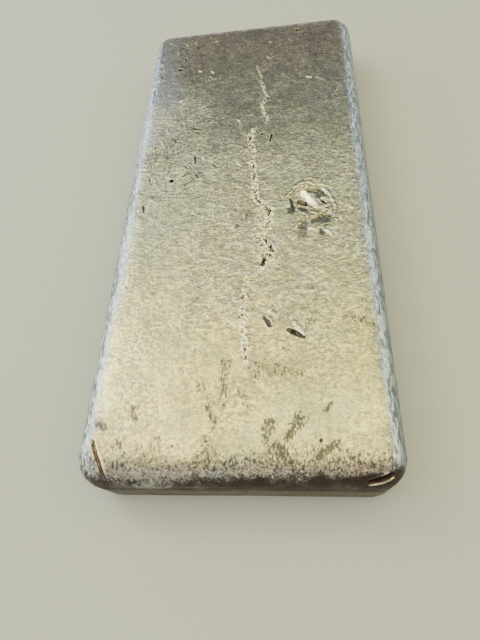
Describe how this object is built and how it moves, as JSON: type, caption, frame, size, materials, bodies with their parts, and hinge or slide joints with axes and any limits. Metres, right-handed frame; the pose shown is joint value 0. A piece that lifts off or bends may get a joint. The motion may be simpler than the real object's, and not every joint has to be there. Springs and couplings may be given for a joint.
{
  "type": "metal ingot",
  "caption": "Flat poured metal ingot: rolled rim, rounded corners, drafted walls, a torn shrinkage crack, a round sink and chisel cuts at the corners.",
  "frame": {"origin": "centre of the footprint, on the surface the ingot lies on", "axes": "+Z from the base up to the poured face, +Y along the length to the far end, +X across the width to the right as seen from the near end"},
  "size_m": [0.082, 0.1876, 0.02],
  "materials": {
    "metal": "as cast, satin, finely grained on the poured face and smoother on the rolled rim"
  },
  "bodies": {
    "root": {"ingot": "metal"}
  },
  "joints": []
}
